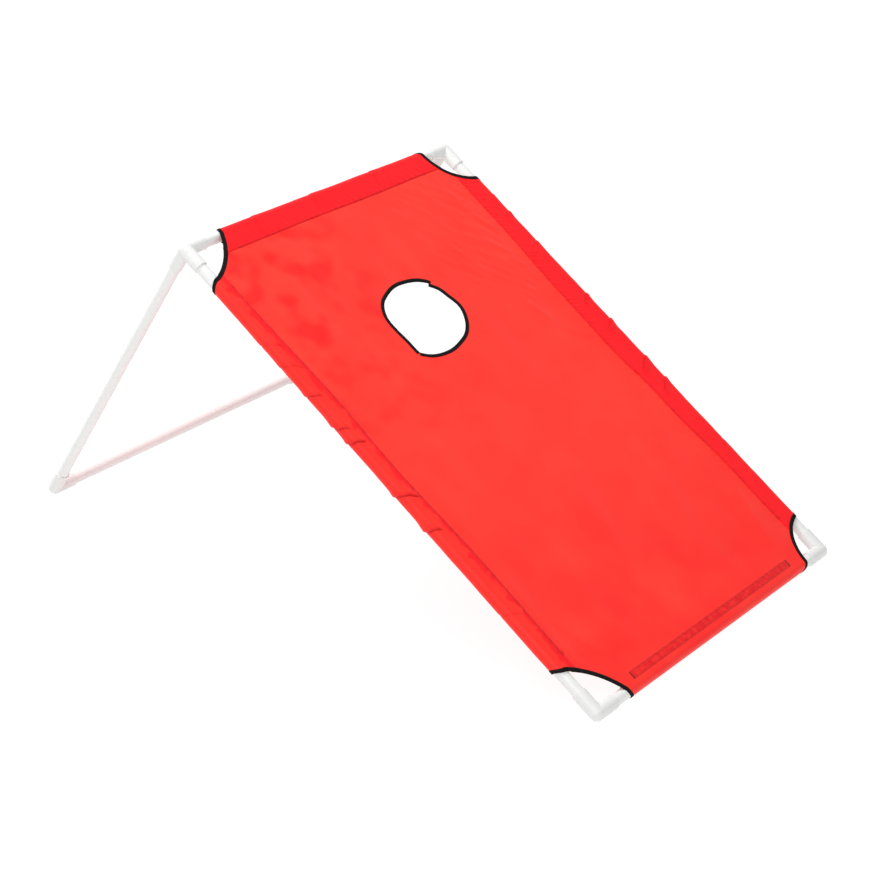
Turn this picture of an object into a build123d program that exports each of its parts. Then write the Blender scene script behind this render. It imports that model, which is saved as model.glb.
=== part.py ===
"""Portable cornhole board: a plastic tube frame with a stretched cloth deck.

The frame is a rectangle of tubes, the deck frame, held up at its far end by a U of two legs
and a foot bar. Every corner is a push-fit elbow. The cloth deck is sewn to sleeves that wrap
round the four deck tubes, and its corners are cut away round the elbows.

Deck frame of reference, used while building: X across, Y up the deck from the axis of the
bottom rail, Z out of the playing face. The legs leave it along -Z. At the end every piece is
tilted so that the bottom rail and the foot bar lie on the floor.
Row frame: origin on the floor, in the middle of the footprint. +X across, +Y from the low end
to the foot bar, +Z up. Millimetres.
"""
import os
from math import acos, atan2, cos, degrees, hypot, radians, sin

from build123d import *

# ---- driving dimensions -------------------------------------------------------------------
rail_spacing = 594.0        # left side rail axis to right side rail axis
deck_length = 880.0         # bottom rail axis to top rail axis
leg_length = 570.0          # top rail axis to foot bar axis

tube_od = 18.0
tube_wall = 1.6
tube_end_chamfer = 0.5

fitting_wall = 1.8          # wall of a socket
socket_depth = 24.0
stop_distance = 13.0        # fitting centre to the shoulder where a tube stops
socket_clearance = 0.05     # radial, push fit
seat_gap = 0.2              # tube end to shoulder
mouth_rounding = 0.7

ferrule_length = 70.0
ferrule_wall = 1.4
ferrule_clearance = 0.05    # radial

cloth = 0.5                 # thickness of the cloth
cloth_clearance = 0.2       # tube to the nearest cloth
seam_allowance = 8.0        # how far the deck panel reaches into a sleeve
top_sleeve_flat = 25.0      # flat part of a sleeve, from the round part to its seam
left_sleeve_flat = 10.0
right_sleeve_flat = 29.0

strip_width = 15.0          # hook strip and loop strip
strip_thickness = 0.9
strip_start = 5.0           # bottom rail axis to the near edge of the loop strip
strip_end_margin = 26.0     # corner cut to the end of the strip
flap_gap = 2.0              # tube to the bend of the closing flap
flap_overhang = 2.0         # flap past the far edge of the strip

corner_cut = 63.0           # corner to where the cut-out crosses a tube axis
corner_clearance = 1.05     # the cut-out's middle past the crossing of the sleeves' seams

hole_radius = 69.0          # clear opening, inside the binding
hole_from_top = 255.0       # top rail axis to the centre of the hole
hole_shift = -15.0          # centre of the hole from the middle of the frame
hole_joint_angle = 39.5     # where the two lengths of hole binding meet, degrees

binding_width = 6.0
binding_thickness = 0.5
binding_gap = 0.05          # cloth to its binding

thread_width = 0.6
thread_height = 0.3
thread_inset = 2.0          # seam edge to its row of stitches
thread_end_margin = 6.0     # cut-out to the first stitch

# ---- sizes that follow --------------------------------------------------------------------
tube_r = tube_od / 2
socket_r = tube_r + socket_clearance
fitting_r = socket_r + fitting_wall
mouth_distance = stop_distance + socket_depth
half_width = rail_spacing / 2
tilt = degrees(atan2(leg_length, deck_length))
footprint = hypot(deck_length, leg_length)

deck_under = tube_r + cloth_clearance
deck_top = deck_under + cloth
sleeve_r = deck_top + cloth / 2         # middle of the cloth round the top and side rails
wrap_r = deck_under + cloth / 2         # middle of the cloth round the bottom rail
widest_side_flat = max(left_sleeve_flat, right_sleeve_flat)
corner_bow = sleeve_r + (top_sleeve_flat + widest_side_flat) / 2 + corner_clearance
row_place = Plane(
    origin=(0, -footprint / 2, fitting_r),
    x_dir=(1, 0, 0),
    z_dir=(0, -sin(radians(tilt)), cos(radians(tilt))),
)


# ---- tubes and fittings -------------------------------------------------------------------
def rod(start, direction, length, radius):
    """A solid cylinder from a point, along a direction."""
    plane = Plane(origin=start, z_dir=direction)
    return plane * Cylinder(radius, length, align=(Align.CENTER, Align.CENTER, Align.MIN))


def tube(start, direction, length):
    """A frame tube with both outer ends chamfered."""
    bar = Cylinder(tube_r, length, align=(Align.CENTER, Align.CENTER, Align.MIN))
    bar = chamfer(bar.edges().filter_by(GeomType.CIRCLE), min(tube_end_chamfer, tube_wall / 2))
    bar -= Cylinder(tube_r - tube_wall, length, align=(Align.CENTER, Align.CENTER, Align.MIN))
    return Plane(origin=start, z_dir=direction) * bar


def tube_between(start, end):
    """A tube that plugs into the fittings centred on start and end."""
    start, end = Vector(*start), Vector(*end)
    direction = (end - start).normalized()
    inset = stop_distance + seat_gap
    return tube(start + direction * inset, direction, (end - start).length - 2 * inset)


def elbow(centre, directions):
    """A fitting with one socket along each direction, and a rounded corner."""
    body = Sphere(fitting_r)
    bore = Sphere(tube_r - tube_wall)
    for direction in directions:
        collar = Cylinder(fitting_r, mouth_distance, align=(Align.CENTER, Align.CENTER, Align.MIN))
        mouth = collar.edges().filter_by(GeomType.CIRCLE).sort_by(Axis.Z)[-1]
        collar = fillet(mouth, min(mouth_rounding, fitting_wall / 2.5))
        body += Plane(origin=(0, 0, 0), z_dir=direction) * collar
        socket_start = Vector(*direction) * stop_distance
        bore += rod(socket_start, direction, socket_depth, socket_r)
        bore += rod((0, 0, 0), direction, mouth_distance, tube_r - tube_wall)
    return Location(centre) * (body - bore)


def side_rail(x):
    """One side rail: lower half, upper half and the ferrule that joins them inside."""
    inset = stop_distance + seat_gap
    half = (deck_length - 2 * inset) / 2
    lower = tube((x, inset, 0), (0, 1, 0), half)
    upper = tube((x, inset + half, 0), (0, 1, 0), half)
    ferrule_r = tube_r - tube_wall - ferrule_clearance
    start = (x, (deck_length - ferrule_length) / 2, 0)
    ferrule = rod(start, (0, 1, 0), ferrule_length, ferrule_r)
    ferrule -= rod(start, (0, 1, 0), ferrule_length, ferrule_r - ferrule_wall)
    return lower, upper, ferrule


# ---- cloth --------------------------------------------------------------------------------
def flat_area(x0, x1, y0, y1):
    """A rectangle between two corners."""
    return Location((x0, y0)) * Rectangle(x1 - x0, y1 - y0, align=(Align.MIN, Align.MIN))


def sleeve_section(radius, top_end, bend, low_end, grow):
    """A sleeve's section, round a tube at the origin. X is towards the deck.

    Its middle line starts flat on top, at top_end, goes round the outside of the tube, leaves
    it on a tangent to the bend, and runs flat from there to low_end. Half of the cloth lies on
    each side of that line, and grow adds to it all round.
    """
    half = cloth / 2 + grow
    bend_x, bend_y = bend
    leave = atan2(bend_y, bend_x) - acos(radius / hypot(bend_x, bend_y))
    far = 4 * radius
    wedge_end = (far * cos(leave), far * sin(leave))
    wedge = Face(Wire.make_polygon([(0, 0), wedge_end, (far, far), (0, far)]))
    ring = Circle(radius + half) - Circle(radius - half) - wedge
    outward = Vector(cos(leave), sin(leave))
    leave_point, bend_point = outward * radius, Vector(bend_x, bend_y)
    slant = Face(Wire.make_polygon([
        leave_point - outward * half,
        leave_point + outward * half,
        bend_point + outward * half,
        bend_point - outward * half,
    ]))
    section = ring + slant + Location((bend_x, bend_y)) * Circle(half)
    section += flat_area(bend_x, low_end + grow, bend_y - half, bend_y + half)
    if top_end > 0:
        section += flat_area(0, top_end + grow, radius - half, radius + half)
    return section


def sleeve_solid(section, start, inward, along, length):
    """The section, with its X towards the deck, drawn out along a tube."""
    plane = Plane(origin=start, x_dir=inward, z_dir=along)
    if plane.y_dir.Z < 0:
        far_end = Vector(*start) + Vector(*along) * length
        plane = Plane(origin=far_end, x_dir=inward, z_dir=-Vector(*along))
    return extrude(plane * section, length)


def seam_section(flat, grow):
    """A sleeve sewn to the deck: its two layers hold the deck panel's edge between them."""
    seam = sleeve_r + flat
    under = deck_under - cloth / 2
    return sleeve_section(sleeve_r, seam, (seam - seam_allowance, under), seam, grow)


def wrap_section(grow):
    """The deck's lower end, wrapped round the bottom rail and closed by the strips."""
    level = deck_under - 2 * strip_thickness - cloth / 2
    far_edge = strip_start + strip_width + flap_overhang
    return sleeve_section(wrap_r, 0, (tube_r + flap_gap, level), far_edge, grow)


def sleeves(grow=0.0):
    """The four sleeves before the corners are cut away, grown all round."""
    top = seam_section(top_sleeve_flat, grow)
    left = seam_section(left_sleeve_flat, grow)
    right = seam_section(right_sleeve_flat, grow)
    across = (1, 0, 0)
    return {
        "top_sleeve": sleeve_solid(
            top, (-half_width, deck_length, 0), (0, -1, 0), across, rail_spacing),
        "bottom_sleeve": sleeve_solid(
            wrap_section(grow), (-half_width, 0, 0), (0, 1, 0), across, rail_spacing),
        "left_sleeve": sleeve_solid(
            left, (-half_width, 0, 0), (1, 0, 0), (0, 1, 0), deck_length),
        "right_sleeve": sleeve_solid(
            right, (half_width, 0, 0), (-1, 0, 0), (0, 1, 0), deck_length),
    }


def panel(grow=0.0):
    """The deck panel before the hole and the corners are cut, grown all round."""
    left = -half_width + sleeve_r + left_sleeve_flat - seam_allowance - grow
    right = half_width - sleeve_r - right_sleeve_flat + seam_allowance + grow
    top = deck_length - sleeve_r - top_sleeve_flat + seam_allowance + grow
    return ribbon(left, right, 0, top, deck_under - grow, deck_top + grow)


def corner_area(x_sign, y_sign, grow):
    """The area cut away at one corner, grown into the cloth by grow."""
    outside = -2 * fitting_r
    outline = Wire([
        Line((outside, outside), (outside, corner_cut)),
        Line((outside, corner_cut), (0, corner_cut)),
        ThreePointArc((0, corner_cut), (corner_bow, corner_bow), (corner_cut, 0)),
        Line((corner_cut, 0), (corner_cut, outside)),
        Line((corner_cut, outside), (outside, outside)),
    ])
    area = Face(outline)
    if grow:
        area = offset(area, amount=grow, kind=Kind.INTERSECTION)
    if x_sign > 0:
        area = mirror(area, about=Plane.YZ)
    if y_sign > 0:
        area = mirror(area, about=Plane.XZ)
    corner_y = deck_length if y_sign > 0 else 0
    reach = 3 * fitting_r
    prism = extrude(area.face(), reach, both=True)
    return Location((x_sign * half_width, corner_y, 0)) * prism


def hole_cylinder(radius):
    centre = (hole_shift, deck_length - hole_from_top, -fitting_r)
    return rod(centre, (0, 0, 1), 3 * fitting_r, radius)


def ribbon(x0, x1, y0, y1, low, high):
    """A flat strip between two corners in plan, from low to high."""
    box = Box(x1 - x0, y1 - y0, high - low, align=(Align.MIN, Align.MIN, Align.MIN))
    return Location((x0, y0, low)) * box


def corner_binding(x_sign, y_sign):
    """Tape folded over the curved edge of a cut-out and round the mouths of its two sleeves."""
    names = ("right_sleeve" if x_sign > 0 else "left_sleeve",
             "top_sleeve" if y_sign > 0 else "bottom_sleeve")

    def cover(grow):
        across, along = (sleeves(grow)[name] for name in names)
        return panel(grow) + across + along

    band = corner_area(x_sign, y_sign, binding_width)
    band -= corner_area(x_sign, y_sign, -binding_thickness)
    cloth_space = cover(binding_gap) - corner_area(x_sign, y_sign, -binding_gap)
    binding = (cover(binding_thickness) & band) - cloth_space
    if y_sign < 0:
        binding -= rod((-half_width, 0, 0), (1, 0, 0), rail_spacing, wrap_r)
    return binding


# ---- the pieces ---------------------------------------------------------------------------
def frame_pieces():
    left, right = -half_width, half_width
    pieces = {
        "top_rail": tube_between((left, deck_length, 0), (right, deck_length, 0)),
        "bottom_rail": tube_between((left, 0, 0), (right, 0, 0)),
        "foot_bar": tube_between((left, deck_length, -leg_length), (right, deck_length, -leg_length)),
    }
    for side, x, inward in (("left", left, (1, 0, 0)), ("right", right, (-1, 0, 0))):
        pieces[f"{side}_leg"] = tube_between((x, deck_length, 0), (x, deck_length, -leg_length))
        rail = side_rail(x)
        for name, piece in zip(("side_rail_lower", "side_rail_upper", "side_ferrule"), rail):
            pieces[f"{side}_{name}"] = piece
        top_ways = [inward, (0, -1, 0), (0, 0, -1)]
        pieces[f"{side}_top_elbow"] = elbow((x, deck_length, 0), top_ways)
        pieces[f"{side}_bottom_elbow"] = elbow((x, 0, 0), [inward, (0, 1, 0)])
        pieces[f"{side}_foot_elbow"] = elbow((x, deck_length, -leg_length), [inward, (0, 0, 1)])
    return pieces


def cloth_pieces():
    corners = {
        "top_left": (-1, 1),
        "top_right": (1, 1),
        "bottom_left": (-1, -1),
        "bottom_right": (1, -1),
    }
    cloth_hole = hole_cylinder(hole_radius + binding_thickness)
    cover = {"deck_panel": panel() - cloth_hole, **sleeves()}
    for x_sign, y_sign in corners.values():
        cut = corner_area(x_sign, y_sign, 0)
        cover = {name: piece - cut for name, piece in cover.items()}

    pieces = dict(cover)
    for name, (x_sign, y_sign) in corners.items():
        pieces[f"{name}_binding"] = corner_binding(x_sign, y_sign)

    ring = hole_cylinder(hole_radius + binding_width) - hole_cylinder(hole_radius)
    ring &= panel(binding_thickness)
    ring -= cover["deck_panel"]
    middle = Location((hole_shift, deck_length - hole_from_top, 0))
    reach = 2 * (hole_radius + binding_width)
    upper_half = middle * Rotation(0, 0, hole_joint_angle) * Box(
        2 * reach, reach, 4 * fitting_r, align=(Align.CENTER, Align.MIN, Align.CENTER))
    pieces["hole_binding_upper"] = ring & upper_half
    pieces["hole_binding_lower"] = ring - upper_half
    return pieces


def closure_pieces():
    """The strips that close the bottom sleeve, and the rows of stitching."""
    reach = half_width - corner_cut - strip_end_margin
    loop_low = deck_under - strip_thickness
    hook_low = loop_low - strip_thickness
    hook_start = tube_r + flap_gap / 2
    strip_far = strip_start + strip_width
    pieces = {
        "loop_strip": ribbon(-reach, reach, strip_start, strip_far, loop_low, deck_under),
        "hook_strip": ribbon(-reach, reach, hook_start, strip_far, hook_low, loop_low),
    }

    half = thread_width / 2
    rows = [strip_start + thread_inset - half, strip_far - thread_inset - half]
    strip_rows = [
        ribbon(-reach, reach, y, y + thread_width, deck_top, deck_top + thread_height) for y in rows
    ]
    pieces["strip_threads"] = Compound(children=[row.solid() for row in strip_rows])

    sleeve_top = deck_top + cloth
    seam_top = deck_length - sleeve_r - top_sleeve_flat + thread_inset
    reach = half_width - corner_cut - thread_end_margin
    pieces["top_seam_thread"] = ribbon(
        -reach, reach, seam_top, seam_top + thread_width, sleeve_top, sleeve_top + thread_height)
    low, high = corner_cut + thread_end_margin, deck_length - corner_cut - thread_end_margin
    left_seam = -half_width + sleeve_r + left_sleeve_flat - thread_inset - thread_width
    right_seam = half_width - sleeve_r - right_sleeve_flat + thread_inset
    for side, x in (("left", left_seam), ("right", right_seam)):
        pieces[f"{side}_seam_thread"] = ribbon(
            x, x + thread_width, low, high, sleeve_top, sleeve_top + thread_height)
    return pieces


def main():
    os.makedirs("parts", exist_ok=True)
    pieces = {**frame_pieces(), **cloth_pieces(), **closure_pieces()}
    for name, piece in pieces.items():
        export_step(row_place.location * piece, f"parts/{name}.step")
    print(len(pieces), "pieces, tilt", round(tilt, 2), "degrees, footprint", round(footprint, 1))


main()
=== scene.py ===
"""Portable cornhole board: the finished cloth, trim and fittings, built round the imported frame.

Deck coordinates, used for all the cloth: u across, s up the deck from the axis of the bottom
rail, n out of the playing face. Metres everywhere.
"""
from math import acos, atan2, cos, hypot, pi, radians, sin, sqrt

import bmesh
import bpy
import numpy as np
from mathutils import Matrix, Vector


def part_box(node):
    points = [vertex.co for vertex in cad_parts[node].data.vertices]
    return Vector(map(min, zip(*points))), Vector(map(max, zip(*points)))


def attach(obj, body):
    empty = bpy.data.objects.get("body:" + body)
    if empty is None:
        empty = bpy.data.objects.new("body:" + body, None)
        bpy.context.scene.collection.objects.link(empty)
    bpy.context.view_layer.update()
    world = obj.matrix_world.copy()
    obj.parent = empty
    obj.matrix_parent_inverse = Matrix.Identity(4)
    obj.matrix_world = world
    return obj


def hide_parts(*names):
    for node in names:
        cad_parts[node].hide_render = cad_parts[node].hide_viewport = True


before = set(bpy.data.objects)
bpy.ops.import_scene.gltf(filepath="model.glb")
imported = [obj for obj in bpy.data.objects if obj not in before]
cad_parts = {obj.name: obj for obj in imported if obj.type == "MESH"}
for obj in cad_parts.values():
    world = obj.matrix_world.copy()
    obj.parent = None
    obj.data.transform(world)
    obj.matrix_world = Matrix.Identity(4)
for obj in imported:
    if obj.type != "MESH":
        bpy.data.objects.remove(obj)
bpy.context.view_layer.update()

MM = 0.001


# ---- places read from the frame ----
def middle(node):
    """The middle of a node's box."""
    low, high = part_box(node)
    return np.array((low + high) / 2)


BOTTOM_AXIS = middle("bottom_rail")
TOP_AXIS = middle("top_rail")
DECK_LENGTH = np.linalg.norm(TOP_AXIS - BOTTOM_AXIS)
ACROSS = np.array([1.0, 0.0, 0.0])
UP_DECK = (TOP_AXIS - BOTTOM_AXIS) / DECK_LENGTH
OUT = np.cross(ACROSS, UP_DECK)
AXES = np.array([ACROSS, UP_DECK, OUT])


def to_world(points):
    """Deck coordinates to the frame's."""
    return BOTTOM_AXIS + np.asarray(points, float) @ AXES


def deck_box(node):
    """A node's lowest and highest u, s and n."""
    places = np.array([vertex.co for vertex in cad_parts[node].data.vertices], float)
    places = (places - BOTTOM_AXIS) @ AXES.T
    return places.min(0), places.max(0)


HALF_WIDTH = middle("right_leg")[0]
TUBE_R = (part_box("left_leg")[1].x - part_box("left_leg")[0].x) / 2
CLOTH_UNDER = deck_box("deck_panel")[0][2]
CLOTH_TOP = deck_box("deck_panel")[1][2]
CLOTH = CLOTH_TOP - CLOTH_UNDER
DECK_MID = (CLOTH_TOP + CLOTH_UNDER) / 2
SLEEVE_MID = deck_box("top_sleeve")[1][2] - CLOTH / 2
TOP_SEAM = deck_box("top_sleeve")[0][1]
CORNER_CUT = deck_box("left_sleeve")[0][1]
FLAP_END = deck_box("bottom_sleeve")[1][1]
STRIP_LOW, STRIP_HIGH = deck_box("loop_strip")
HOLE_BOXES = np.array([deck_box("hole_binding_upper"), deck_box("hole_binding_lower")])
HOLE_U, HOLE_S = ((HOLE_BOXES.min((0, 1)) + HOLE_BOXES.max((0, 1))) / 2)[:2]

# ---- sizes of the cloth work ----
SEAM_ALLOWANCE = 8 * MM     # how far the deck cloth reaches into a sleeve
SEAM_INSET = 2 * MM         # seam edge to its stitches
DECK_TOP = TOP_SEAM + SEAM_ALLOWANCE
FLAP_LEVEL = deck_box("hook_strip")[0][2] - CLOTH / 2
FLAP_BEND = TUBE_R + 2 * MM     # where the flap has left the rail and lies level
FLARE = 10 * MM             # how much further back a sleeve's mouth is cut under its tube
FLARE_WAY = 22 * MM         # the way round the tube over which the mouth moves back
TAPE_WIDTH = 6 * MM         # binding, on each face of the cloth
TAPE_THICKNESS = 0.5 * MM
TAPE_ROW = 0.72 * TAPE_WIDTH    # edge of the cloth to the binding's stitches
STITCH_PITCH = 3.2 * MM
STITCH_WIDTH = 0.6 * MM
STITCH_LENGTH = 2.5 * MM    # at STITCH_PITCH, and in proportion at other pitches
STITCH_LEAN = 0.12          # radians that a stitch leans across its row
BINDING_PITCH = 2.6 * MM
BINDING_STITCH_WIDTH = 0.36 * MM
GRID = 3 * MM               # spacing of the deck cloth's mesh
STATION = 1.2 * MM          # spacing along the sleeves
NEAR_HOLE = 0.12            # from the hole's middle, past its edge and short of the corners

# ---- how loose the cloth is ----
DECK_SAG = 3.0 * MM
HELD = 0.028                # from a seam to where the deck moves freely
SIDE_GATHER = 0.8 * MM      # height of the puckers on the deck's sides and on every sleeve
TOP_GATHER = 0.6 * MM       # the same on the deck's top edge
GATHER_REACH = 0.012        # how far into the deck they die away
CREASE_WIDTH = 1.5 * MM     # half width of a creased line
CREASE_DEPTH = 0.5 * MM
LOW_FOLD = 0.8 * MM         # a fold no higher than this gets no painted shade beside it
UNDER_REACH = 0.14          # how far a pucker runs on under the tube, as a share of the way round

# Corner cut-outs: where the edge crosses the side tube and the end tube, and its middle. The
# top ones come first, and each left one before its right one.
CUTS = {
    "top_left": (0.066, 0.067, (0.0375, 0.0415)),
    "top_right": (0.071, 0.058, (0.0390, 0.0470)),
    "bottom_left": (0.069, 0.063, (0.0365, 0.0405)),
    "bottom_right": (0.062, 0.052, (0.0375, 0.0375)),
}

# Seam lines: (s, u) of the edge of each side sleeve.
LEFT_SEAM = (
    (0.03, -0.279), (0.10, -0.279), (0.265, -0.277), (0.433, -0.282),
    (0.578, -0.278), (0.685, -0.281), (0.79, -0.283), (0.86, -0.282),
)
RIGHT_SEAM = (
    (0.03, 0.266), (0.10, 0.262), (0.219, 0.262), (0.287, 0.256), (0.365, 0.2556), (0.436, 0.250),
    (0.515, 0.251), (0.596, 0.253), (0.679, 0.2576), (0.761, 0.2596), (0.86, 0.262),
)
# Puckers of the sleeves: place along the tube, height and reach along the tube.
LEFT_PUCKERS = (
    (0.700, 0.5 * MM, 0.014), (0.655, 0.7 * MM, 0.012), (0.599, 1.3 * MM, 0.010),
    (0.540, 1.7 * MM, 0.012), (0.508, 1.6 * MM, 0.008), (0.407, 2.0 * MM, 0.010),
    (0.342, 2.0 * MM, 0.011), (0.190, 0.4 * MM, 0.016),
)
RIGHT_PUCKERS = (
    (0.768, 0.7 * MM, 0.012), (0.729, 1.6 * MM, 0.009), (0.661, 1.1 * MM, 0.011),
    (0.542, 1.8 * MM, 0.009), (0.486, 2.2 * MM, 0.010), (0.404, 1.6 * MM, 0.012),
    (0.359, 2.0 * MM, 0.009), (0.225, 0.4 * MM, 0.014),
)
TOP_PUCKERS = ((-0.15, 0.7 * MM, 0.018), (-0.02, 0.9 * MM, 0.02), (0.12, 0.8 * MM, 0.017))

# Hole outline: degrees round the hole's middle and the clear radius, for each binding length.
HOLE_UPPER = (
    (40, 0.0720), (70, 0.0655), (95, 0.0635), (120, 0.0650), (142, 0.0700),
    (160, 0.0715), (180, 0.0695), (203, 0.0730), (216, 0.0820),
)
HOLE_LOWER = (
    (-144, 0.0820), (-134, 0.0785), (-106, 0.0670), (-77, 0.0610), (-47, 0.0637),
    (-26, 0.0665), (-8, 0.0685), (12, 0.0655), (28, 0.0670), (40, 0.0650),
)
HOLE_START = HOLE_LOWER[0][0]
HOLE_JOINT = HOLE_UPPER[0][0]

# Pulled folds of the deck cloth, out of its seams: height, half width, and (s, u) along each.
FOLDS = (
    (1.2 * MM, 6 * MM,
     ((0.467, 0.247), (0.493, 0.220), (0.514, 0.203), (0.536, 0.190), (0.620, 0.176))),
    (1.2 * MM, 6 * MM,
     ((0.591, 0.252), (0.621, 0.236), (0.646, 0.230), (0.671, 0.224), (0.740, 0.206))),
    (1.3 * MM, 6 * MM,
     ((0.695, 0.251), (0.723, 0.241), (0.745, 0.232), (0.775, 0.224), (0.845, 0.219))),
    (0.8 * MM, 9 * MM, ((0.68, -0.262), (0.75, -0.240), (0.83, -0.215))),
    (0.8 * MM, 9 * MM, ((0.05, -0.215), (0.12, -0.245), (0.20, -0.262))),
    (0.8 * MM, 9 * MM, ((0.05, 0.205), (0.12, 0.232), (0.20, 0.250))),
)


# ---- helpers ----
def smooth_line(points, at):
    """A smooth curve through (place, value) points, level past both ends."""
    places, values = (np.array(column, float) for column in zip(*points))
    slopes = np.gradient(values, places)
    at = np.clip(at, places[0], places[-1])
    i = np.clip(np.searchsorted(places, at) - 1, 0, len(places) - 2)
    step = places[i + 1] - places[i]
    t = (at - places[i]) / step
    return (
        values[i] * (2 * t**3 - 3 * t**2 + 1) + values[i + 1] * (3 * t**2 - 2 * t**3)
        + step * (slopes[i] * (t**3 - 2 * t**2 + t) + slopes[i + 1] * (t**3 - t**2))
    )


def ease(value, start, end):
    """0 before start, 1 past end, and smooth between."""
    t = np.clip((value - start) / (end - start), 0, 1)
    return t * t * (3 - 2 * t)


def swell(u, s, seed, pitch, lean=0.0, spread=pi / 2, count=14):
    """A gentle random surface of waves about pitch long, running within spread of lean."""
    rng = np.random.default_rng(seed)
    total = 0 * (u + s)
    for _ in range(count):
        way = lean + rng.uniform(-spread, spread)
        length = pitch * rng.uniform(0.7, 1.6)
        start = rng.uniform(0, 2 * pi)
        total = total + np.sin(2 * pi * (u * cos(way) + s * sin(way)) / length + start)
    return total / sqrt(count / 2)


def wander(along, seed, pitch):
    """A gentle random line of waves about pitch long."""
    return swell(along, 0 * along, seed, pitch, spread=0.2, count=5)


def grid_faces(rows, columns, closed=False):
    """Quads of a grid of points, the last column joined to the first if closed."""
    across = np.arange(columns if closed else columns - 1)
    following = (across + 1) % columns
    low = np.arange(rows - 1)[:, None] * columns
    high = low + columns
    return np.stack([low + across, low + following, high + following, high + across], -1).reshape(-1, 4)


def tube_faces(rings, around):
    """Faces of a closed tube of rings, with a cap at each end."""
    sides = [list(face) for face in grid_faces(rings, around, closed=True)]
    caps = [list(range(around)), list(range((rings - 1) * around, rings * around))]
    return sides + caps


def travelled(places):
    """The way from the first place to each place of a line."""
    return np.concatenate([[0], np.cumsum(np.linalg.norm(np.diff(places, axis=0), axis=1))])


def unrolled(line, profile):
    """The flat place of each point of a tape: along its line, and round its profile."""
    return np.stack(np.meshgrid(travelled(line), travelled(profile), indexing="ij"), -1).reshape(-1, 2)


def add_object(name, data):
    """A new object in the scene."""
    made = bpy.data.objects.new(name, data)
    bpy.context.scene.collection.objects.link(made)
    return made


def new_piece(name, points, faces, material, flat=None, crease_shade=None):
    """A smooth mesh from deck coordinates. flat is each point's place on the uncut cloth.

    The last argument, from 0 to 1, is the painted shade at each point along the cloth's creases.
    """
    mesh = bpy.data.meshes.new(name)
    mesh.from_pydata(to_world(points).tolist(), [], [list(map(int, face)) for face in faces])
    mesh.materials.append(material)
    if flat is not None:
        layer = mesh.uv_layers.new(name="flat_cloth")
        corners = np.array([loop.vertex_index for loop in mesh.loops])
        layer.data.foreach_set("uv", np.asarray(flat, float)[corners].ravel())
    if crease_shade is not None:
        # painted shade of the creases, kept as a point attribute for the cloth materials
        mesh.attributes.new("crease_shade", "FLOAT", "POINT").data.foreach_set("value", crease_shade)
    mesh.shade_smooth()
    return add_object(name, mesh)


def thicken(piece):
    """The cloth's own thickness, half on each side of the sheet."""
    solidify = piece.modifiers.new("thickness", "SOLIDIFY")
    solidify.thickness = CLOTH
    solidify.offset = 0.0
    return piece


def outward_faces(piece):
    """Makes the faces agree with each other, and point outwards where the piece is closed."""
    work = bmesh.new()
    work.from_mesh(piece.data)
    bmesh.ops.recalc_face_normals(work, faces=work.faces)
    work.to_mesh(piece.data)
    work.free()


def finish_solid(piece):
    """Faces outwards, and edges sharp where the shape is."""
    outward_faces(piece)
    piece.data.set_sharp_from_angle(angle=radians(50))


def add_to_deck(piece, slot, *nodes):
    """Fixes a piece to the deck, in place of the nodes that it shows. slot is not used."""
    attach(piece, "deck")
    if nodes:
        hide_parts(*nodes)


# ---- materials ----
def material(name, colour, roughness, specular=0.5, sheen=0.0):
    """A named material, its tree and its shader, with the plain values set."""
    made = bpy.data.materials.new(name)
    made.use_nodes = True
    tree = made.node_tree
    shader = tree.nodes["Principled BSDF"]
    shader.inputs["Base Color"].default_value = (*colour, 1)
    shader.inputs["Roughness"].default_value = roughness
    shader.inputs["Specular IOR Level"].default_value = specular
    shader.inputs["Sheen Weight"].default_value = sheen
    return made, tree, shader


def node(tree, kind, **values):
    """A node with its settings, and its inputs by name."""
    made = tree.nodes.new(kind)
    for name, value in values.items():
        if name in made.inputs:
            made.inputs[name].default_value = value
        else:
            setattr(made, name, value)
    return made


def math(tree, operation, first, second=None):
    """A maths node fed by sockets or numbers."""
    made = node(tree, "ShaderNodeMath", operation=operation)
    for socket, value in zip(made.inputs, (first, second)):
        if isinstance(value, (int, float)):
            socket.default_value = value
        elif value is not None:
            tree.links.new(value, socket)
    return made.outputs[0]


def times(tree, first, second):
    return math(tree, "MULTIPLY", first, second)


def plus(tree, first, second):
    return math(tree, "ADD", first, second)


def shared(tree, first, second, share):
    """A share of one value and the rest of another."""
    return plus(tree, times(tree, first, share), times(tree, second, 1 - share))


def separated(tree, flat):
    """The two coordinates of the flat cloth."""
    apart = node(tree, "ShaderNodeSeparateXYZ")
    tree.links.new(flat, apart.inputs[0])
    return apart.outputs[0], apart.outputs[1]


def noise(tree, coordinates, scale, detail=3.0):
    made = node(tree, "ShaderNodeTexNoise", Scale=scale, Detail=detail)
    tree.links.new(coordinates, made.inputs["Vector"])
    return made.outputs["Fac"]


def mixed(tree, factor, low, high):
    """Two colours, plain or from sockets, mixed by a socket."""
    made = node(tree, "ShaderNodeMix", data_type="RGBA")
    tree.links.new(factor, made.inputs["Factor"])
    colours = [socket for socket in made.inputs if socket.type == "RGBA"]
    for socket, colour in zip(colours, (low, high)):
        if isinstance(colour, tuple):
            socket.default_value = (*colour, 1)
        else:
            tree.links.new(colour, socket)
    return next(out for out in made.outputs if out.type == "RGBA")


def ramped(tree, value, low, high):
    """A value stretched so that low becomes 0 and high 1."""
    made = node(tree, "ShaderNodeMapRange", **{"From Min": low, "From Max": high})
    tree.links.new(value, made.inputs["Value"])
    return made.outputs["Result"]


def bumped(tree, shader, height, distance, strength=1.0):
    made = node(tree, "ShaderNodeBump", Strength=strength, Distance=distance)
    tree.links.new(height, made.inputs["Height"])
    tree.links.new(made.outputs["Normal"], shader.inputs["Normal"])


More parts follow.
